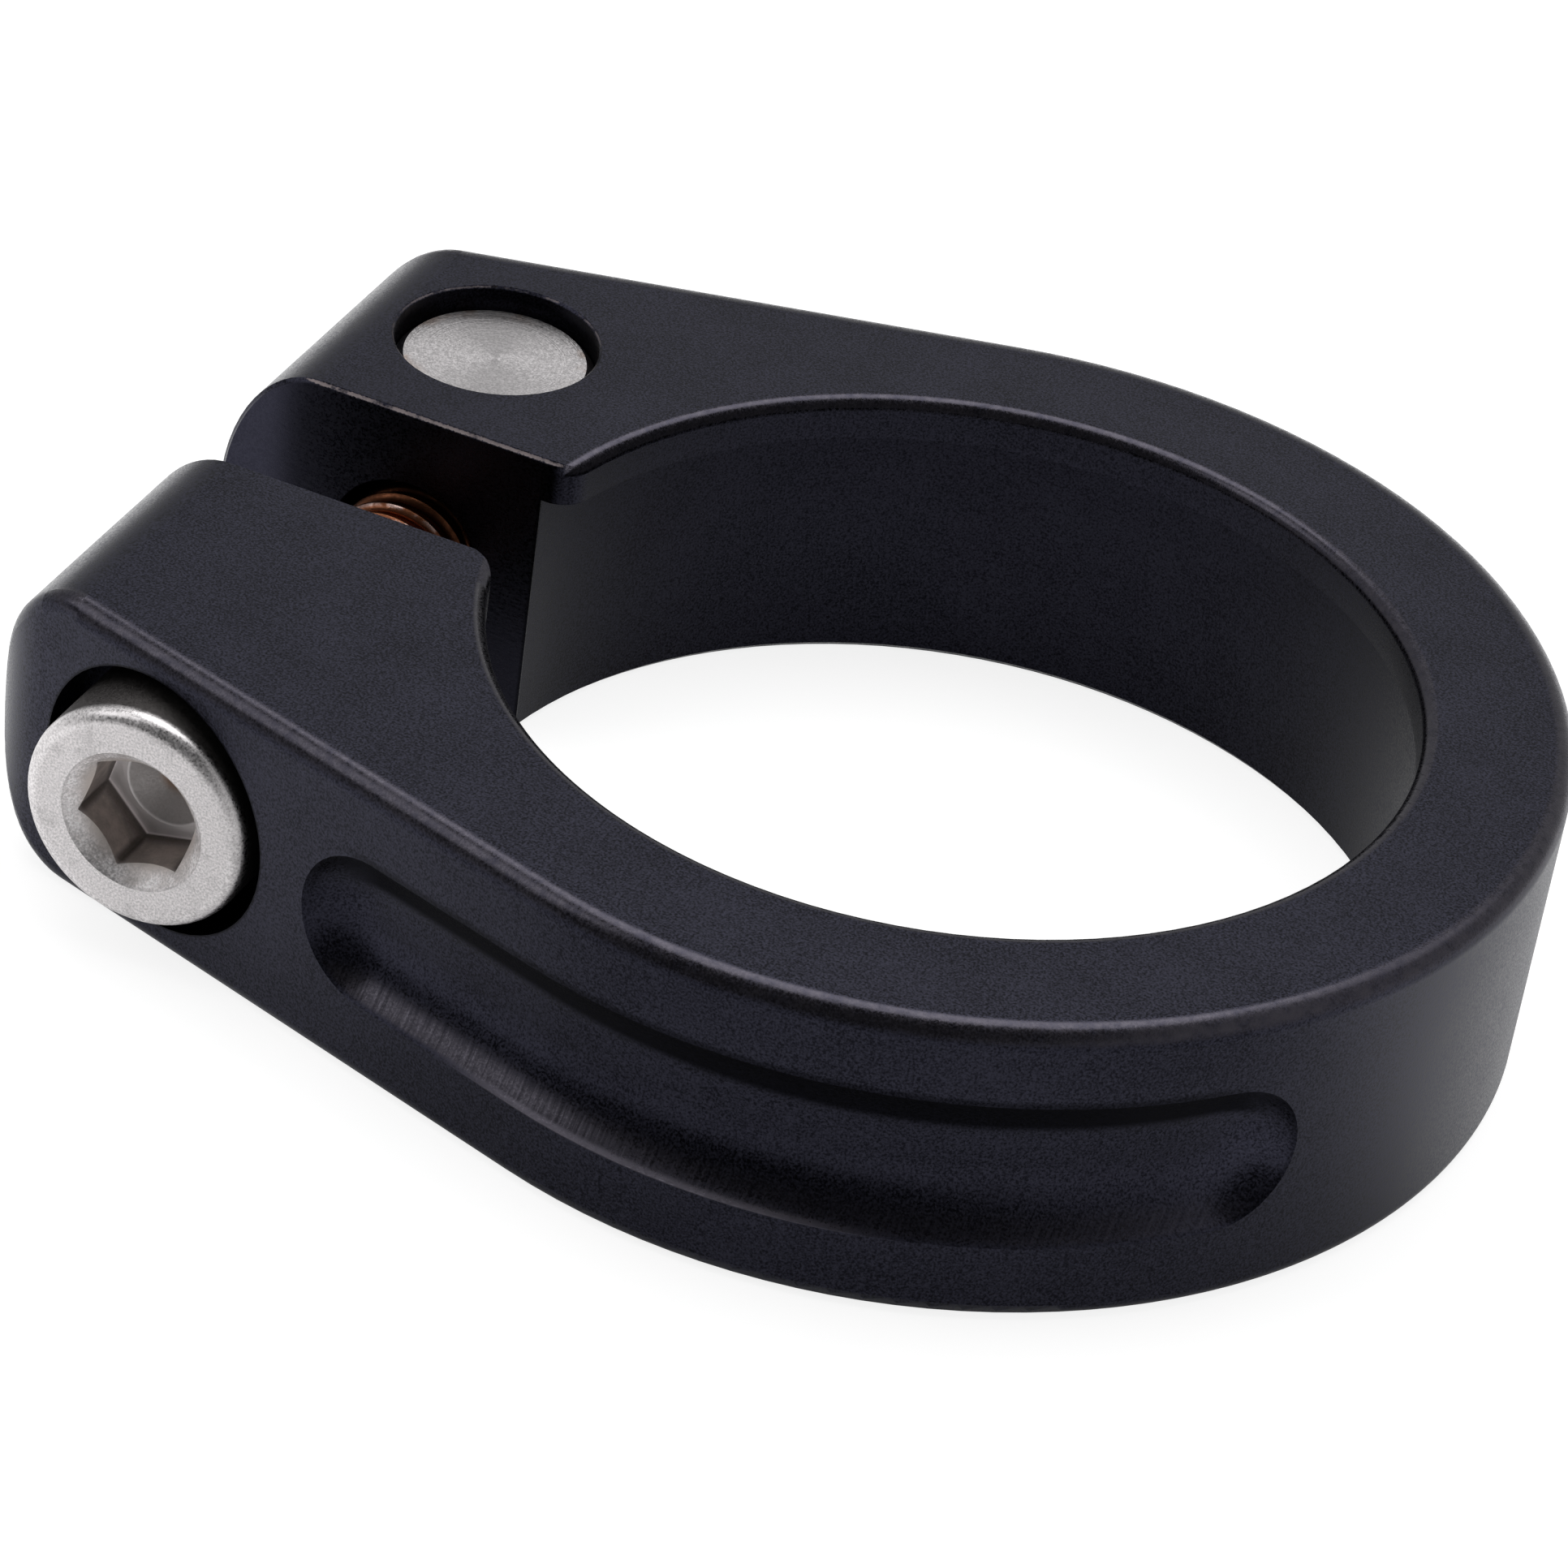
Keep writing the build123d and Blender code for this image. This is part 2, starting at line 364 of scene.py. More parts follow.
class Wiring:
    """Short calls that add nodes to one tree and link them."""

    def __init__(self, tree):
        self.tree = tree

    def node(self, kind, **properties):
        """A new node with its properties set."""
        made = self.tree.nodes.new(kind)
        for name, value in properties.items():
            setattr(made, name, value)
        return made

    def feed(self, socket, value):
        """Link a socket to another one, or set its value."""
        if isinstance(value, Value):
            value = value.socket
        if isinstance(value, bpy.types.NodeSocket):
            self.tree.links.new(value, socket)
        else:
            socket.default_value = value

    def fill(self, made, **inputs):
        """Feed a node's inputs by their names, with _ for a space."""
        for name, value in inputs.items():
            self.feed(made.inputs[name.replace("_", " ")], value)
        return made

    def maths(self, operation, *values, clamp=False):
        """Result of a Math node."""
        made = self.node("ShaderNodeMath", operation=operation, use_clamp=clamp)
        for socket, value in zip(made.inputs, values):
            self.feed(socket, value)
        return Value(self, made.outputs[0])

    def largest(self, first, *others):
        """The largest of several numbers."""
        for other in others:
            first = self.maths("MAXIMUM", first, other)
        return first

    def vectors(self, operation, *values, output=0):
        """Result of a Vector Math node."""
        made = self.node("ShaderNodeVectorMath", operation=operation)
        for socket, value in zip(made.inputs, values):
            self.feed(socket, value)
        return made.outputs[output]

    def scaled(self, vector, factor):
        """A vector or a colour times a number."""
        made = self.node("ShaderNodeVectorMath", operation="SCALE")
        return self.fill(made, Vector=vector, Scale=factor).outputs[0]

    def split(self, vector):
        """The three parts of a vector."""
        made = self.fill(self.node("ShaderNodeSeparateXYZ"), Vector=vector)
        return [Value(self, socket) for socket in made.outputs]

    def joined(self, **parts):
        """A vector from its parts, with nought for a part that isn't given."""
        return self.fill(self.node("ShaderNodeCombineXYZ"), **parts).outputs[0]

    def reach(self, position, centre, across):
        """Distance from an axis through a centre; across is 0 along the axis and 1 the other two ways."""
        away = self.vectors("MULTIPLY", self.vectors("SUBTRACT", position, centre), across)
        return Value(self, self.vectors("LENGTH", away, output="Value"))

    def step(self, value, start, end, low=0.0, high=1.0):
        """Soft step from low at start to high at end."""
        made = self.node("ShaderNodeMapRange", interpolation_type="SMOOTHSTEP")
        for socket, number in zip(made.inputs, (value, start, end, low, high)):
            self.feed(socket, number)
        return Value(self, made.outputs[0])

    def fade(self, value, fade, form=0.0):
        """Mask that follows a form: nothing at the fade's start and full at its end."""
        start, full = fade
        return self.step(value, form + start, form + full)

    def between(self, value, span):
        """Mask that rises over the first two numbers of a span and falls over the last two."""
        start, full, last_full, end = span
        return self.step(value, start, full) * self.step(value, end, last_full)

    def mixed(self, kind, factor, first, second):
        """Result of a Mix node for one kind of value."""
        made = self.node("ShaderNodeMix", data_type=kind)
        ends = [socket for socket in made.inputs if socket.type == kind and socket.name in ("A", "B")]
        self.feed(made.inputs[0], factor)
        for socket, value in zip(ends, (first, second)):
            self.feed(socket, value)
        return next(socket for socket in made.outputs if socket.type == kind)

    def mix(self, factor, first, second):
        """Two colours mixed, each a plain one or the output of a node."""
        return self.mixed("RGBA", factor, *(
            value if isinstance(value, bpy.types.NodeSocket) else opaque(value) for value in (first, second)))

    def shades(self, factor, colour, darkest, palest):
        """A plain colour that changes between two shades of itself."""
        return self.mix(factor, times(colour, darkest), times(colour, palest))

    def noise(self, vector, scale, detail=2.0, roughness=0.5):
        """Value of a noise texture."""
        made = self.node("ShaderNodeTexNoise")
        self.fill(made, Vector=vector, Scale=scale, Detail=detail, Roughness=roughness)
        return Value(self, made.outputs[0])

    def group(self, name, **inputs):
        """Outputs by name of a shader node group, with its inputs fed by name."""
        made = self.fill(self.node("ShaderNodeGroup", node_tree=effect(name)), **inputs)
        return {socket.name: Value(self, socket) for socket in made.outputs}

    def bump(self, height, distance, strength=1.0, normal=None):
        """Normal from a height, the distance in metres."""
        made = self.node("ShaderNodeBump")
        self.fill(made, Height=height, Distance=distance, Strength=strength)
        if normal is not None:
            self.feed(made.inputs["Normal"], normal)
        return made.outputs[0]

    def rounded(self, normal, sideways, across, upward, inside):
        """Normal of a rounded top edge, from how far a point lies out and up of the rounding's middle."""
        way = self.vectors("ADD", self.scaled(sideways, across), self.joined(Z=upward))
        true = self.node(
            "ShaderNodeVectorTransform", vector_type="NORMAL", convert_from="OBJECT", convert_to="WORLD")
        self.fill(true, Vector=self.vectors("NORMALIZE", way))
        least = self.maths("MINIMUM", self.maths("MINIMUM", across, upward), inside)
        within = self.maths("GREATER_THAN", least, 0.0)
        return self.mixed("VECTOR", within, normal, true.outputs[0])


def opaque(colour):
    """A colour with full alpha."""
    return (*colour[:3], 1.0)


def times(colour, factor):
    """A plain colour made darker or paler."""
    return tuple(factor * value for value in colour)


def new_group(name, inputs, outputs):
    """An empty shader node group: its wiring, its inputs and its outputs, by name."""
    tree = bpy.data.node_groups.new(name, "ShaderNodeTree")
    for label, kind in inputs.items():
        tree.interface.new_socket(label, in_out="INPUT", socket_type=f"NodeSocket{kind}")
    for label in outputs:
        tree.interface.new_socket(label, in_out="OUTPUT", socket_type="NodeSocketFloat")
    wiring = Wiring(tree)
    given = {socket.name: socket for socket in wiring.node("NodeGroupInput").outputs if socket.name}
    result = {socket.name: socket for socket in wiring.node("NodeGroupOutput").inputs if socket.name}
    return wiring, given, result


def blast_grain_group(name):
    """Dimples of a fine blast, and a tone that changes with them and slowly over the surface."""
    wiring, given, result = new_group(name, {"Position": "Vector", "Size": "Float"}, ("Height", "Tone"))
    fineness = wiring.maths("DIVIDE", 1.0, given["Size"])
    dimples = wiring.noise(given["Position"], fineness, detail=1.5, roughness=0.6)
    clouds = wiring.noise(given["Position"], 0.35, detail=3.0)
    wiring.feed(result["Height"], dimples)
    tone = wiring.maths("ADD", dimples * 3.2 - 1.1, clouds * 0.5 - 0.25, clamp=True)
    wiring.feed(result["Tone"], tone)
    return wiring.tree


def tool_marks_group(name):
    """Fine uneven lines left by a cutter, which run the way that Stretch is small."""
    wiring, given, result = new_group(name, {"Position": "Vector", "Stretch": "Vector"}, ("Height",))
    drawn_out = wiring.vectors("MULTIPLY", given["Position"], given["Stretch"])
    wiring.feed(result["Height"], wiring.noise(drawn_out, 1.0, detail=3.0, roughness=0.65))
    return wiring.tree


def edge_wear_group(name):
    """Broken line of rubbed metal within Width of an edge, from each point's offset from that edge."""
    inputs = {"Position": "Vector", "Offset": "Float", "Width": "Float", "Gaps": "Float"}
    wiring, given, result = new_group(name, inputs, ("Mask",))
    ragged = wiring.noise(given["Position"], 9.0, detail=3.0, roughness=0.7)
    worn = wiring.maths("MULTIPLY", given["Width"], ragged * 1.6 - 0.1)
    line = wiring.step(given["Offset"], worn, worn * 0.45)
    patches = wiring.noise(given["Position"], 1.3, detail=4.0, roughness=0.65)
    gaps = Value(wiring, given["Gaps"])
    wiring.feed(result["Mask"], line * wiring.step(patches, gaps, gaps + 0.16))
    return wiring.tree


EFFECTS = {
    "blast_grain": blast_grain_group,
    "tool_marks": tool_marks_group,
    "edge_wear": edge_wear_group,
}


def effect(name):
    """A shader node group by name, built when it is first asked for."""
    return bpy.data.node_groups.get(name) or EFFECTS[name](name)


def cleared(owner):
    """Wiring of the emptied node tree of a material or a world."""
    owner.use_nodes = True
    owner.node_tree.nodes.clear()
    return Wiring(owner.node_tree)


def new_metal(name):
    """A metal: the material, its wiring, its shader, and object coordinates in millimetres."""
    material = bpy.data.materials.new(name)
    wiring = cleared(material)
    shader = wiring.node("ShaderNodeBsdfPrincipled")
    shader.inputs["Metallic"].default_value = 1.0
    output = wiring.node("ShaderNodeOutputMaterial")
    wiring.feed(output.inputs["Surface"], shader.outputs[0])
    coordinates = wiring.node("ShaderNodeTexCoord")
    position = wiring.scaled(coordinates.outputs["Object"], 1 / MM)
    return material, wiring, shader, position


def assign(node_name, material):
    """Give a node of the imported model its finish."""
    slots = frame["nodes"][node_name].data.materials
    slots.clear()
    slots.append(material)


def collar_place(wiring, position):
    """Where a point of the collar lies, from the bore's axis, the outer face, the holes and the slot."""
    x, y, z = wiring.split(position)
    radius = wiring.reach(position, (0, 0, 0), (1, 1, 0))
    run = wiring.largest(0.0, -cos(FLANK_ANGLE) * x - sin(FLANK_ANGLE) * abs(y))
    return SimpleNamespace(
        x=x, y=y, z=z, radius=radius, run=run,
        depth=OUTER_RADIUS - wiring.maths("SQRT", radius * radius - run * run),
        under_top=TOP_Z - z,
        from_bolt=wiring.reach(position, BOLT_CENTRE / MM, (1, 0, 1)),
        from_nut=wiring.reach(position, NUT_CENTRE / MM, (1, 1, 0)),
        from_slot=abs(y - SLOT_Y) - SLOT_HALF_WIDTH)


def collar_masks(wiring, at):
    """Masks of the places that the collar's finish tells apart, by name, among them those of its painted
    shade and painted light.
    """
    fade, between = wiring.fade, wiring.between
    bore = fade(at.radius, BORE_FADE, BORE_RADIUS) * fade(at.under_top, BORE_TOP_FADE)
    slot = fade(at.from_slot, SLOT_FADE) * fade(at.x, SLOT_X_FADE)
    pocket = (fade(at.depth, POCKET_DEPTH_FADE)
              * fade(abs(at.z - MIDDLE_Z), POCKET_WIDTH_FADE, POCKET_HALF_WIDTH)
              * fade(at.x, POCKET_EAR_FADE, POCKET_EAR_END_X)
              * fade(at.radius, POCKET_WALL_FADE, BORE_RADIUS))
    rim = fade(at.depth, RIM_FADE) * fade(at.under_top, RIM_TOP_FADE)
    lip_rim = fade(at.radius, LIP_RIM_FADE, LIP_RADIUS) * fade(at.under_top, LIP_RIM_TOP_FADE)
    return {
        "bore": bore,
        "lip": bore * fade(at.z, LIP_FADE, LIP_Z),
        "slot": slot,
        "slot_end": slot * fade(at.x, SLOT_END_FADE, EAR_END_X),
        "head_hole": fade(at.from_bolt, HOLE_FADE, HEAD_HOLE_RADIUS) * fade(at.y, HEAD_HOLE_Y_FADE),
        "screw_hole": (fade(at.from_bolt, HOLE_FADE, SCREW_HOLE_RADIUS)
                       * between(abs(at.y), SCREW_HOLE_Y_SPAN)),
        "nut_hole": fade(at.from_nut, HOLE_FADE, NUT_HOLE_RADIUS) * fade(at.under_top, NUT_HOLE_TOP_FADE),
        "pocket": pocket,
        # A painted shade on the pocket's upper wall
        "pocket_shade": pocket * fade(at.z, SHADE_Z_FADE) * between(at.x, SHADE_X_SPAN),
        "pocket_sill": pocket * fade(at.z, SILL_Z_FADE),
        "pocket_end": pocket * fade(at.x, POCKET_END_X_FADE),
        "sill_edge": (between(at.z, SILL_EDGE_Z_SPAN) * between(at.x, SILL_EDGE_X_SPAN)
                      * fade(at.depth, SILL_EDGE_DEPTH_FADE)),
        # A painted shade on the outer face just over the pocket
        "brow": (fade(at.depth, BROW_DEPTH_FADE) * between(at.z, BROW_Z_SPAN)
                 * between(at.x, BROW_X_SPAN)),
        "rims": wiring.largest(rim, lip_rim),
        "nose": fade(at.x, NOSE_FADE, NOSE_X),
    }


def rubbed_edges(wiring, position, at, width):
    """Mask of the edges that are rubbed to bare metal: the slot's, and faintly the nut hole's."""
    slot_middle, nut_middle = SLOT_EDGE_BREAK / 2, NUT_EDGE_BREAK / 2
    slot_edge = wiring.largest(abs(at.from_slot - slot_middle), abs(at.under_top - slot_middle))
    slot_edge = slot_edge + wiring.fade(at.x, SLOT_EDGE_X_FADE)
    nut_edge = wiring.largest(
        abs(at.from_nut - (NUT_HOLE_RADIUS + nut_middle)), abs(at.under_top - nut_middle))
    slot_wear = wiring.group("edge_wear", Position=position, Offset=slot_edge, Width=width, Gaps=0.38)
    nut_wear = wiring.group("edge_wear", Position=position, Offset=nut_edge, Width=0.6 * width, Gaps=0.42)
    return wiring.largest(slot_wear["Mask"] * 0.75, nut_wear["Mask"] * 0.35)


def dye_with_painted_shade(wiring, position, at, masks, tone, marks):
    """The dyed oxide, with a painted shade in most machined places and a painted light in a few, a painted
    light on the pocket's sill with its cutter's lines, a painted highlight along the pocket's lower edge, and
    warm on the rims.
    """
    finish = settings().anodised
    calm = tone + (0.5 - tone) * masks["slot"] * 0.7
    # Painted shade and painted light by place, from the table of the dye's parts
    painted_shading = 1.0
    for place, part in DYE_PAINTED_SHADE_AND_LIGHT.items():
        painted_shading = painted_shading * (masks[place] * (part - 1.0) + 1.0)
    dye = wiring.scaled(wiring.shades(calm, finish.colour, 0.4, 1.6), painted_shading)
    # The pocket's lower wall: the cutter's lines, in a painted light
    sill_marks_and_light = wiring.shades(wiring.step(marks, 0.3, 0.7), finish.rim_colour, 0.35, 1.1)
    dye = wiring.mix(masks["pocket_sill"] * wiring.step(at.x, *SILL_X_FADE, 0.35, 0.9), dye, sill_marks_and_light)
    # A painted highlight along the pocket's lower edge
    dye = wiring.mix(masks["sill_edge"], dye, times(finish.rim_colour, 1.6))
    thin = wiring.noise(position, 2.2, detail=4.0, roughness=0.7)
    return wiring.mix(masks["rims"] * wiring.step(thin, 0.1, 0.7), dye, finish.rim_colour)


def rounded_edges(wiring, position, at):
    """The collar's normal, with the facets of its outer rim and its lip's edge smoothed out."""
    level = wiring.vectors("MULTIPLY", position, (1, 1, 0))
    foot = wiring.joined(
        X=at.run * -cos(FLANK_ANGLE), Y=at.run * wiring.maths("SIGN", at.y) * -sin(FLANK_ANGLE))
    outward = wiring.vectors("NORMALIZE", wiring.vectors("SUBTRACT", level, foot))
    inward = wiring.scaled(outward, -1.0)
    plain = wiring.node("ShaderNodeNewGeometry").outputs["Normal"]
    smooth = wiring.rounded(
        plain, outward, RIM_RADIUS - at.depth, RIM_RADIUS - at.under_top, at.x - NOSE_X)
    past_corner = wiring.largest(at.x, at.y, SLOT_CORNER_Y - at.y)
    return wiring.rounded(
        smooth, inward, LIP_RADIUS + LIP_RIM_RADIUS - at.radius, LIP_RIM_RADIUS - at.under_top, past_corner)


def anodised_material():
    """Black anodised collar: blasted all over, then milled at the slot, the pockets and the holes, with
    painted shade and painted light by place in its colour.
    """
    finish = settings().anodised
    material, wiring, shader, position = new_metal("black_anodised")
    grain = wiring.group("blast_grain", Position=position, Size=finish.grain_size / MM)
    milled = wiring.group("tool_marks", Position=position, Stretch=POCKET_MARKS)
    scratched = wiring.group("tool_marks", Position=position, Stretch=SLOT_MARKS)
    tone = grain["Tone"]
    at = collar_place(wiring, position)
    masks = collar_masks(wiring, at)
    slot, pocket = masks["slot"], masks["pocket"]

    worn = rubbed_edges(wiring, position, at, finish.wear_width / MM)
    # The dye, with painted shade and painted light by place
    dye = dye_with_painted_shade(wiring, position, at, masks, tone, milled["Height"])
    wiring.feed(shader.inputs["Base Color"], wiring.mix(worn, dye, finish.worn_colour))

    # Roughness: smoother where a cutter went and on the rounded ends, rougher where rubbed
    cut = wiring.largest(pocket, slot, masks["bore"])
    roughness = tone * 0.2 + (finish.roughness - 0.1) - cut * 0.06 - masks["rims"] * 0.1
    roughness = roughness - masks["nose"] * 0.1 + masks["pocket_shade"] * 0.25
    wiring.feed(shader.inputs["Roughness"], roughness + worn * 0.2)

    # Relief: the blast's dimples, and the cutter's lines up the pocket's lower wall and along the slot
    smooth = rounded_edges(wiring, position, at)
    dimpled = 1.0 - wiring.largest(masks["pocket_sill"], slot) * 0.85
    blasted = wiring.bump(grain["Height"], finish.grain_depth, strength=dimpled, normal=smooth)
    lines = milled["Height"] * pocket * wiring.fade(at.z, POCKET_MARKS_Z_FADE) * 0.6
    lines = lines + scratched["Height"] * slot
    wiring.feed(shader.inputs["Normal"], wiring.bump(lines, CUT_DEPTH, normal=blasted))
    return material


def bolt_material():
    """Stainless bolt: a matt cold-formed head, an oiled socket and a pasted thread core, with a painted shade
    on the head's side and deep in the socket and a painted light on the socket's mouth and floor.
    """
    finish = settings().steel
    material, wiring, shader, position = new_metal("stainless_bolt")
    fade = wiring.fade
    grain = wiring.group("blast_grain", Position=position, Size=HEAD_GRAIN)
    tone = grain["Tone"]

    # Masks of the head's places, and of the core under the thread
    x, y, z = wiring.split(position)
    depth = y - BOLT_LOW.y / MM
    radius = wiring.reach(position, BOLT_CENTRE / MM, (1, 0, 1))
    turn = wiring.maths("ARCTAN2", z - BOLT_CENTRE.z / MM, x - BOLT_CENTRE.x / MM) - HEX_TURN
    from_corner = wiring.maths("PINGPONG", turn, HEX_HALF_SIDE) * radius
    mouth = fade(radius, MOUTH_FADE, HEX_MOUTH_RADIUS)
    cone = mouth * fade(depth, CONE_DEPTH_FADE)
    socket = mouth * fade(depth, SOCKET_DEPTH_FADE)
    # The hex's corners and foot, which the colour darkens as a painted shade
    oiled = socket * wiring.largest(fade(from_corner, HEX_CORNER_FADE), wiring.between(depth, HEX_FOOT_SPAN))
    floor = mouth * fade(depth, HEX_FLOOR_FADE, HEX_DEPTH)
    drilled = floor * fade(depth, DRILLED_FADE, HEX_DEPTH)
    drill_tip = drilled * fade(radius, DRILL_TIP_FADE)
    # The head's side down in the counterbore, which the colour darkens as a painted shade
    side = fade(depth, HEAD_SIDE_DEPTH_FADE) * fade(radius, HEAD_SIDE_FADE, HEAD_RADIUS)
    rounded_rim = fade(radius, HEAD_RIM_FADE, HEAD_RADIUS) * fade(depth, HEAD_RIM_DEPTH_FADE)
    threaded = fade(depth, THREADED_DEPTH_FADE)

    # Colour: smudged steel, then one layer over another, among them painted light on the mouth's cone and the
    # socket's floor, and painted shade on the head's side, in the hex's corners and foot and down the drill's
    # point
    smudges = wiring.noise(position, 1.1, detail=5.0, roughness=0.65)
    steel = wiring.shades(tone, finish.colour, 0.72, 1.28)
    steel = wiring.scaled(steel, wiring.step(smudges, 0.5, 0.72, 1.0, 0.78))
    wall = wiring.shades(wiring.step(smudges, 0.35, 0.65), finish.stain_colour, 0.68, 0.98)
    colour = steel
    for mask, layer in (
        # Painted light on the mouth's cone
        (cone, wiring.scaled(steel, 1.25)),
        (cone * wiring.step(smudges, 0.42, 0.66) * 0.45, times(finish.stain_colour, 0.6)),
        # Painted shade on the head's side in the counterbore
        (side * 0.92, times(finish.stain_colour, 0.08)),
        (socket, wall),
        # Painted shade in the hex's corners and at its foot
        (oiled * 0.85, times(finish.stain_colour, 0.2)),
        # Painted light on the socket's floor
        (floor, times(finish.colour, 1.42)),
        # Painted shade down the drill's point
        (drilled * 0.6, times(finish.stain_colour, 0.3)),
        (drill_tip * 0.8, finish.rust_colour),
        (threaded, times(finish.paste_colour, 0.5)),
    ):
        colour = wiring.mix(mask, colour, layer)
    wiring.feed(shader.inputs["Base Color"], colour)

    roughness = tone * 0.16 + (finish.roughness - 0.04) + socket * 0.06 - rounded_rim * 0.2
    wiring.feed(shader.inputs["Roughness"], roughness)
    broached = wiring.group("tool_marks", Position=position, Stretch=SOCKET_MARKS)
    fine = wiring.bump(grain["Height"], HEAD_GRAIN_DEPTH)
    relief = wiring.bump(broached["Height"] * socket, SOCKET_CUT_DEPTH, normal=fine)
    wiring.feed(shader.inputs["Normal"], relief)
    return material


def paste_material():
    """Thread ridge: steel under a coppery assembly paste, in a painted shade towards the rear ear, and rubbed
    bright on its crest out of that shade, partly as wear and partly as a painted highlight.
    """
    finish = settings().steel
    material, wiring, shader, position = new_metal("pasted_thread")
    patches = wiring.noise(position, 1.6, detail=4.0, roughness=0.6)
    radius = wiring.reach(position, BOLT_CENTRE / MM, (1, 0, 1))
    crest = wiring.fade(radius, CREST_FADE, CREST_RADIUS)
    # A painted shade darkens the paste towards the rear ear, and the crest is rubbed bright only in front of
    # it
    out_of_shade = wiring.fade(wiring.split(position)[1], PASTE_SHADE_Y_FADE)
    paste = wiring.shades(wiring.step(patches, 0.35, 0.65), finish.paste_colour, 0.45, 1.0)
    paste = wiring.scaled(paste, out_of_shade * 0.75 + 0.25)
    rubbed = crest * out_of_shade * wiring.step(patches, 0.4, 0.6) * 0.7
    wiring.feed(shader.inputs["Base Color"], wiring.mix(rubbed, paste, finish.colour))
    wiring.feed(shader.inputs["Roughness"], wiring.step(patches, 0.3, 0.7, 0.42, 0.22))
    wiring.feed(shader.inputs["Normal"], wiring.bump(patches, PASTE_DEPTH))
    return material


def nut_material():
    """Barrel nut: a turned stainless face with a faint stain at its edge."""
    finish = settings().steel
    material, wiring, shader, position = new_metal("stainless_nut")
    radius = wiring.reach(position, NUT_CENTRE / MM, (1, 1, 0))
    rings = wiring.group("tool_marks", Position=wiring.joined(X=radius), Stretch=RING_MARKS)
    grain = wiring.group("blast_grain", Position=position, Size=NUT_GRAIN)
    tone = grain["Tone"]
    steel = wiring.shades(tone * 0.6 + rings["Height"] * 0.8 - 0.2, finish.colour, 0.6, 1.05)
    smudges = wiring.noise(position, 0.8, detail=4.0, roughness=0.65)
    stain = wiring.fade(radius, NUT_STAIN_FADE) * wiring.step(smudges, 0.5, 0.66)
    wiring.feed(shader.inputs["Base Color"], wiring.mix(stain * 0.5, steel, finish.rust_colour))
    wiring.feed(shader.inputs["Roughness"], tone * 0.1 + 0.28)
    fine = wiring.bump(grain["Height"], NUT_GRAIN_DEPTH)
    wiring.feed(shader.inputs["Normal"], wiring.bump(rings["Height"], CUT_DEPTH, normal=fine))
    shader.inputs["Anisotropic"].default_value = 0.6
    around = wiring.node("ShaderNodeTangent", direction_type="RADIAL", axis="Z")
    wiring.feed(shader.inputs["Tangent"], around.outputs[0])
    return material


def floor_material(studio):
    """Pale paper that keeps the object's shadow and shows white to the eye, and dimmer in front in metal."""
    material = bpy.data.materials.new("paper_floor")
    wiring = cleared(material)
    light_path = wiring.node("ShaderNodeLightPath").outputs
    seen = wiring.largest(light_path["Is Camera Ray"], light_path["Is Transmission Ray"])
    mirrored = Value(wiring, light_path["Is Glossy Ray"])
    place = wiring.vectors("NORMALIZE", wiring.node("ShaderNodeTexCoord").outputs["Object"])
    before = wiring.vectors("DOT_PRODUCT", place, FLOOR_FRONT, output="Value")
    dimmed = wiring.step(before, *FLOOR_FADE, 1.0, studio.front_shade)
    paper = wiring.node("ShaderNodeBsdfDiffuse")
    plain = wiring.mix(mirrored, studio.floor_colour, wiring.scaled(studio.floor_colour, dimmed))
    wiring.fill(paper, Color=wiring.mix(seen, plain, times(studio.floor_colour, studio.floor_shade)))
    glow = wiring.node("ShaderNodeEmission")
    white = seen * studio.floor_lift + mirrored * dimmed * studio.mirror_lift
    wiring.fill(glow, Color=opaque(WHITE), Strength=white)
    both = wiring.node("ShaderNodeAddShader")
    wiring.feed(both.inputs[0], paper.outputs[0])
    wiring.feed(both.inputs[1], glow.outputs[0])
    output = wiring.node("ShaderNodeOutputMaterial")
    wiring.feed(output.inputs["Surface"], both.outputs[0])
    return material


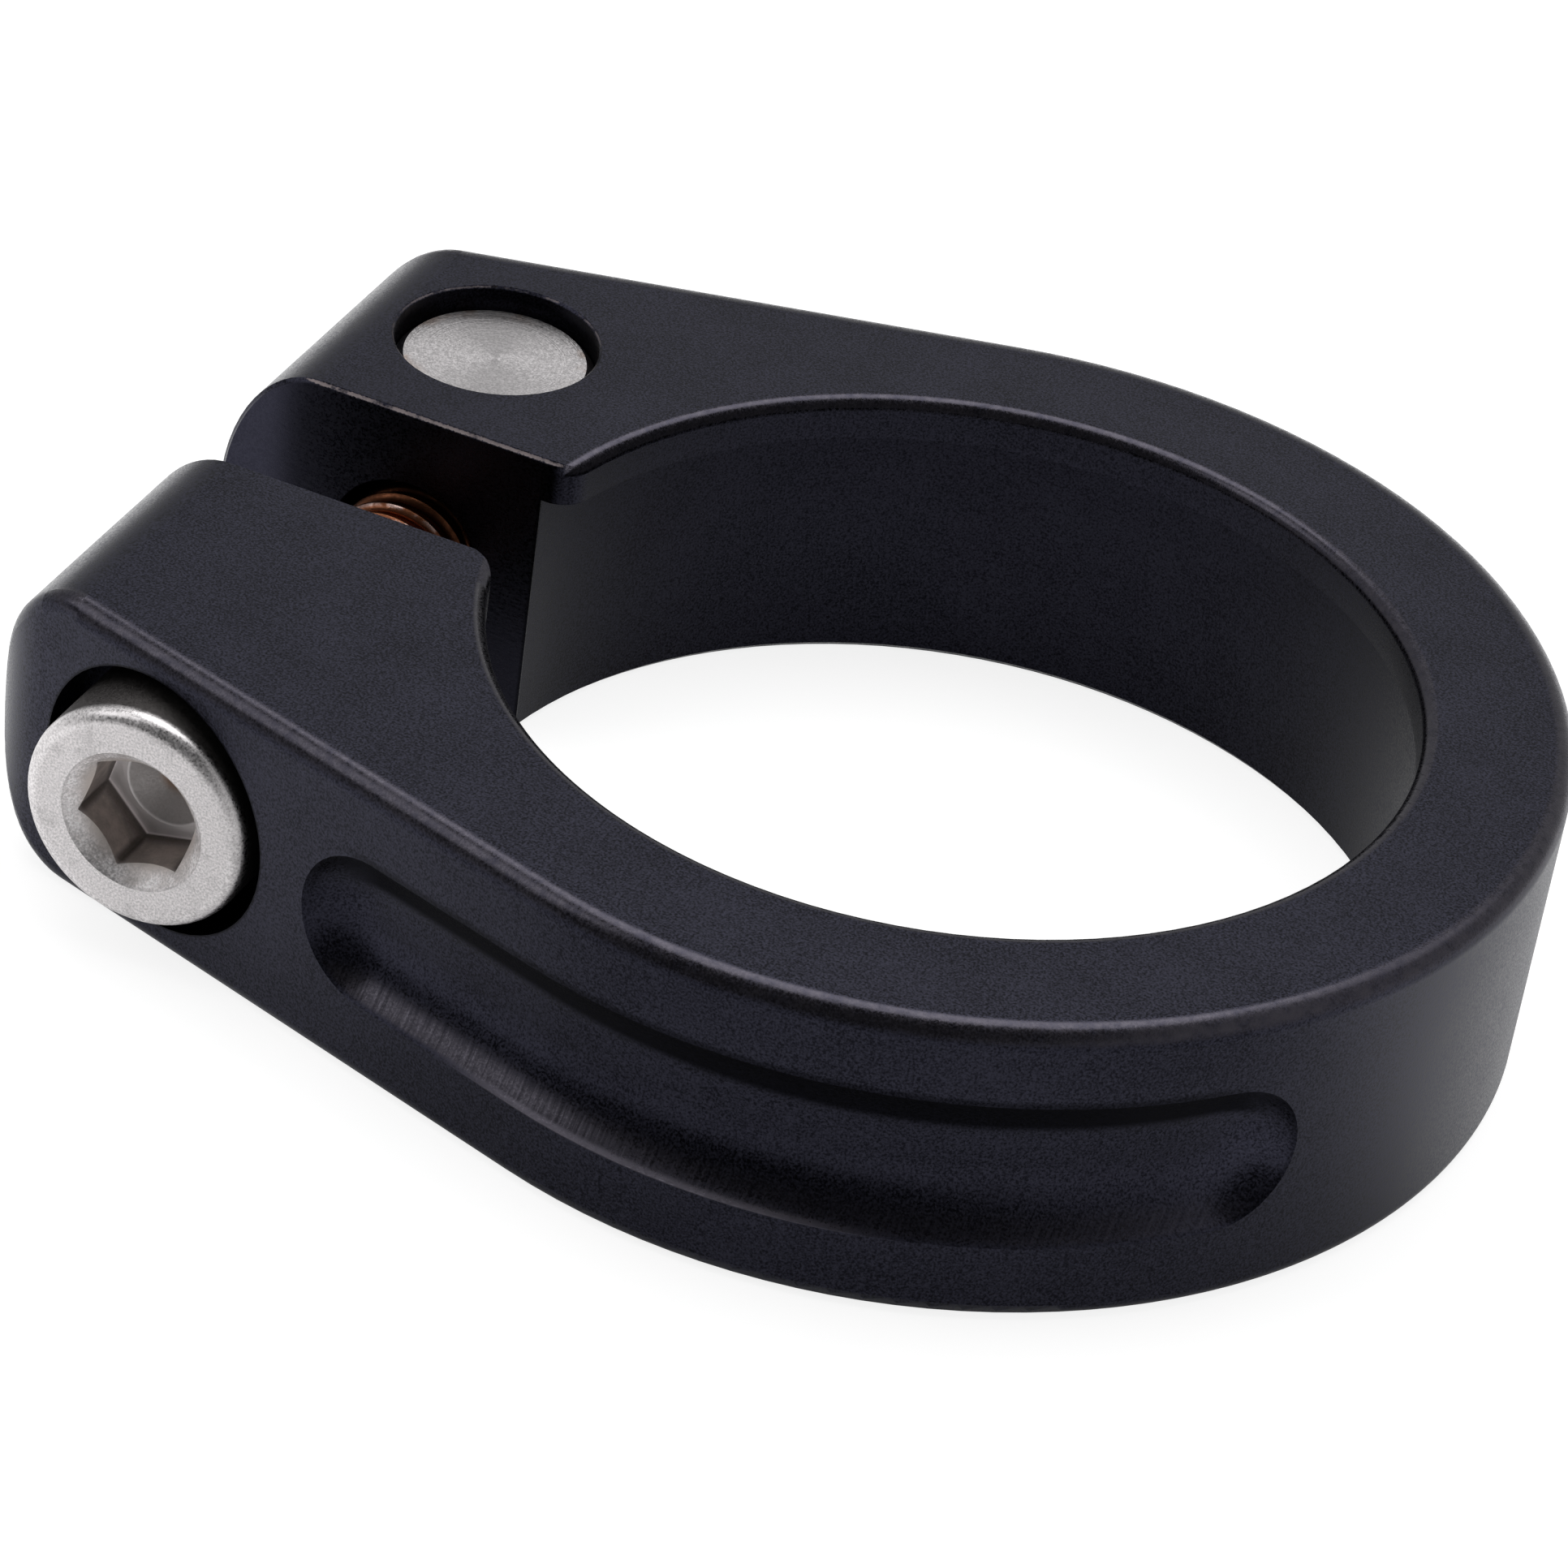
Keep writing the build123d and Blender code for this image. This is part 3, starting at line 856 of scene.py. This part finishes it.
def thread_tree():
    """Geometry nodes that wind a trapezoid ridge round the Z axis, from the origin upwards."""
    tree = bpy.data.node_groups.new("thread_ridge", "GeometryNodeTree")
    tree.interface.new_socket("Geometry", in_out="OUTPUT", socket_type="NodeSocketGeometry")
    for label in ("Pitch", "Core Radius", "Crest Radius", "Root Width", "Crest Width", "Length"):
        tree.interface.new_socket(label, in_out="INPUT", socket_type="NodeSocketFloat")
    tree.interface.new_socket("Steps", in_out="INPUT", socket_type="NodeSocketInt")
    tree.interface.new_socket("Material", in_out="INPUT", socket_type="NodeSocketMaterial")
    wiring = Wiring(tree)
    given = wiring.node("NodeGroupInput").outputs
    turns = wiring.maths("DIVIDE", given["Length"], given["Pitch"])
    helix = wiring.node("GeometryNodeCurveSpiral")
    wiring.fill(helix, Resolution=given["Steps"], Height=given["Length"], Rotations=turns, Reverse=True,
                Start_Radius=given["Core Radius"], End_Radius=given["Core Radius"])
    upright = wiring.node("GeometryNodeSetCurveNormal", mode="Z_UP")
    wiring.feed(upright.inputs["Curve"], helix.outputs[0])

    # Section of the ridge, its root sunk a little into the core
    ridge = wiring.node("GeometryNodeCurvePrimitiveQuadrilateral", mode="POINTS")
    depth = wiring.maths("SUBTRACT", given["Crest Radius"], given["Core Radius"])
    outward = {"Root Width": depth * -THREAD_SINK, "Crest Width": depth}
    corners = (("Root Width", 0.5), ("Root Width", -0.5), ("Crest Width", -0.5), ("Crest Width", 0.5))
    for number, (width, side) in enumerate(corners, start=1):
        corner = wiring.joined(X=outward[width], Y=wiring.maths("MULTIPLY", given[width], side))
        wiring.feed(ridge.inputs[f"Point {number}"], corner)

    # Sweep along the helix, swelling to the full section over less than a turn from each end
    run = wiring.node("GeometryNodeSplineParameter").outputs["Factor"]
    from_end = wiring.maths("PINGPONG", run, 0.5) * turns
    swept = wiring.node("GeometryNodeCurveToMesh")
    wiring.fill(swept, Curve=upright.outputs[0], Profile_Curve=ridge.outputs[0], Fill_Caps=True,
                Scale=wiring.maths("MULTIPLY_ADD", from_end, THREAD_SWELL, THREAD_START, clamp=True))
    plain = wiring.fill(wiring.node("GeometryNodeRealizeInstances"), Geometry=swept.outputs[0])
    finished = wiring.node("GeometryNodeSetMaterial")
    wiring.fill(finished, Geometry=plain.outputs[0], Material=given["Material"])
    wiring.feed(wiring.node("NodeGroupOutput").inputs["Geometry"], finished.outputs[0])
    return tree


def set_inputs(modifier, values):
    """Set a geometry nodes modifier's inputs, named as in its tree."""
    for socket in modifier.node_group.interface.items_tree:
        if socket.item_type == "SOCKET" and socket.in_out == "INPUT":
            modifier[socket.identifier] = values[socket.name]


def made_plain(maker, name, place):
    """A new object in its place, with the plain mesh of a maker's modifiers; the maker is removed."""
    graph = bpy.context.evaluated_depsgraph_get()
    mesh = bpy.data.meshes.new_from_object(maker.evaluated_get(graph))
    bpy.data.objects.remove(maker)
    mesh.name = name
    mesh.transform(place)
    piece = bpy.data.objects.new(name, mesh)
    bpy.context.scene.collection.objects.link(piece)
    return piece


class CLAMP_OT_finish_collar(bpy.types.Operator):
    """Give the collar its black anodised finish"""

    bl_idname = "clamp.finish_collar"
    bl_label = "Finish collar"

    def execute(self, context):
        assign("collar", anodised_material())
        return {"FINISHED"}


class CLAMP_OT_finish_bolt(bpy.types.Operator):
    """Give the clamp bolt its stainless finish"""

    bl_idname = "clamp.finish_bolt"
    bl_label = "Finish bolt"

    def execute(self, context):
        assign("clamp_bolt", bolt_material())
        return {"FINISHED"}


class CLAMP_OT_finish_nut(bpy.types.Operator):
    """Give the barrel nut its turned finish"""

    bl_idname = "clamp.finish_nut"
    bl_label = "Finish nut"

    def execute(self, context):
        assign("barrel_nut", nut_material())
        return {"FINISHED"}


class CLAMP_OT_wind_thread(bpy.types.Operator):
    """Wind the thread's ridge round the bolt's core"""

    bl_idname = "clamp.wind_thread"
    bl_label = "Wind thread"

    def execute(self, context):
        sizes = settings().thread
        maker = bpy.data.objects.new("thread_maker", bpy.data.meshes.new("thread_maker"))
        context.scene.collection.objects.link(maker)
        modifier = maker.modifiers.new("thread", "NODES")
        modifier.node_group = thread_tree()
        set_inputs(modifier, {
            "Pitch": sizes.pitch,
            "Core Radius": sizes.core_diameter / 2,
            "Crest Radius": sizes.crest_diameter / 2,
            "Root Width": sizes.root_width,
            "Crest Width": sizes.crest_width,
            "Length": sizes.length,
            "Steps": sizes.steps,
            "Material": paste_material(),
        })
        start = Vector((BOLT_CENTRE.x, BOLT_HIGH.y - sizes.tip_margin - sizes.length, BOLT_CENTRE.z))
        along_bolt = Matrix.Rotation(radians(-90), 4, "X")
        thread = made_plain(maker, "bolt_thread", Matrix.Translation(start) @ along_bolt)
        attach(thread, "clamp_bolt")
        return {"FINISHED"}


def add_camera(studio):
    """Camera that sees the object as the photograph does."""
    azimuth, elevation, roll = studio.azimuth, studio.elevation, studio.roll
    back = Vector((sin(azimuth) * cos(elevation), -cos(azimuth) * cos(elevation), sin(elevation)))
    level = Vector((cos(azimuth), sin(azimuth), 0))
    upward = back.cross(level)
    right = level * cos(roll) + upward * sin(roll)
    top = upward * cos(roll) - level * sin(roll)
    lens = bpy.data.cameras.new("camera")
    lens.sensor_width = SENSOR_WIDTH
    lens.lens = studio.focal_pixels / IMAGE_SIDE * SENSOR_WIDTH
    lens.clip_start = studio.distance / CLIP_RATIO
    lens.clip_end = studio.distance * CLIP_RATIO
    camera = bpy.data.objects.new("camera", lens)
    turn = Matrix((right, top, back)).transposed().to_4x4()
    camera.matrix_world = Matrix.Translation(Vector(studio.aim) + back * studio.distance) @ turn
    bpy.context.scene.collection.objects.link(camera)
    bpy.context.scene.camera = camera


def add_softbox(name, place, size, level):
    """A rectangular softbox of an even brightness, turned to the object."""
    width, depth = size
    lamp = bpy.data.lights.new(name, "AREA")
    lamp.shape = "RECTANGLE"
    lamp.size = width
    lamp.size_y = depth
    lamp.energy = level * width * depth * pi
    box = bpy.data.objects.new(name, lamp)
    turn = Vector(place).to_track_quat("Z", "Y").to_matrix().to_4x4()
    box.matrix_world = Matrix.Translation(place) @ turn
    bpy.context.scene.collection.objects.link(box)


def add_surroundings(studio):
    """A light tent: pale all round, dimmer at its opening by the camera."""
    world = bpy.data.worlds.new("light_tent")
    wiring = cleared(world)
    direction = wiring.node("ShaderNodeTexCoord").outputs["Generated"]
    opening = Vector(TENT_OPENING).normalized()
    facing = wiring.vectors("DOT_PRODUCT", direction, opening, output="Value")
    level = wiring.step(facing, *TENT_FADE, studio.pale_level, studio.front_level)
    tent = wiring.node("ShaderNodeBackground")
    wiring.fill(tent, Color=opaque(WHITE), Strength=level)
    output = wiring.node("ShaderNodeOutputWorld")
    wiring.feed(output.inputs["Surface"], tent.outputs[0])
    bpy.context.scene.world = world


def add_floor(studio):
    """A wide paper floor under the object."""
    half = FLOOR_HALF
    corners = [(-half, -half, 0), (half, -half, 0), (half, half, 0), (-half, half, 0)]
    mesh = bpy.data.meshes.new("floor")
    mesh.from_pydata(corners, [], [(0, 1, 2, 3)])
    mesh.materials.append(floor_material(studio))
    floor = bpy.data.objects.new("floor", mesh)
    bpy.context.scene.collection.objects.link(floor)


class CLAMP_OT_set_stage(bpy.types.Operator):
    """Set up the camera, the light tent, the softboxes and the floor"""

    bl_idname = "clamp.set_stage"
    bl_label = "Set stage"

    def execute(self, context):
        studio = settings().studio
        context.scene.view_settings.view_transform = "Standard"
        add_camera(studio)
        add_surroundings(studio)
        for name, place, size, level, part in SOFTBOXES:
            add_softbox(name, place, size, getattr(studio, level) * part)
        add_floor(studio)
        return {"FINISHED"}


OPERATORS = (
    CLAMP_OT_finish_collar,
    CLAMP_OT_finish_bolt,
    CLAMP_OT_finish_nut,
    CLAMP_OT_wind_thread,
    CLAMP_OT_set_stage,
)


class CLAMP_PT_panel(bpy.types.Panel):
    """Sidebar panel with the clamp's steps and settings"""

    bl_idname = "CLAMP_PT_panel"
    bl_label = "Seatpost clamp"
    bl_space_type = "VIEW_3D"
    bl_region_type = "UI"
    bl_category = "Seatpost clamp"

    def draw(self, context):
        for operator in OPERATORS:
            self.layout.operator(operator.bl_idname)
        for group in (settings().anodised, settings().steel, settings().thread, settings().studio):
            box = self.layout.box()
            for name in group.__annotations__:
                box.prop(group, name)


CLASSES = (
    AnodisedFinish,
    SteelFinish,
    ThreadSizes,
    StudioSettings,
    ClampSettings,
    *OPERATORS,
    CLAMP_PT_panel,
)


def register():
    """Register the classes and the settings."""
    for kind in CLASSES:
        bpy.utils.register_class(kind)
    bpy.types.Scene.seatpost_clamp = PointerProperty(type=ClampSettings)


def unregister():
    """Take the settings and the classes away again."""
    del bpy.types.Scene.seatpost_clamp
    for kind in reversed(CLASSES):
        bpy.utils.unregister_class(kind)


def main():
    """Dress the clamp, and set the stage."""
    register()
    bpy.ops.clamp.finish_collar()
    bpy.ops.clamp.finish_bolt()
    bpy.ops.clamp.finish_nut()
    bpy.ops.clamp.wind_thread()
    bpy.ops.clamp.set_stage()


if __name__ == "__main__":
    main()
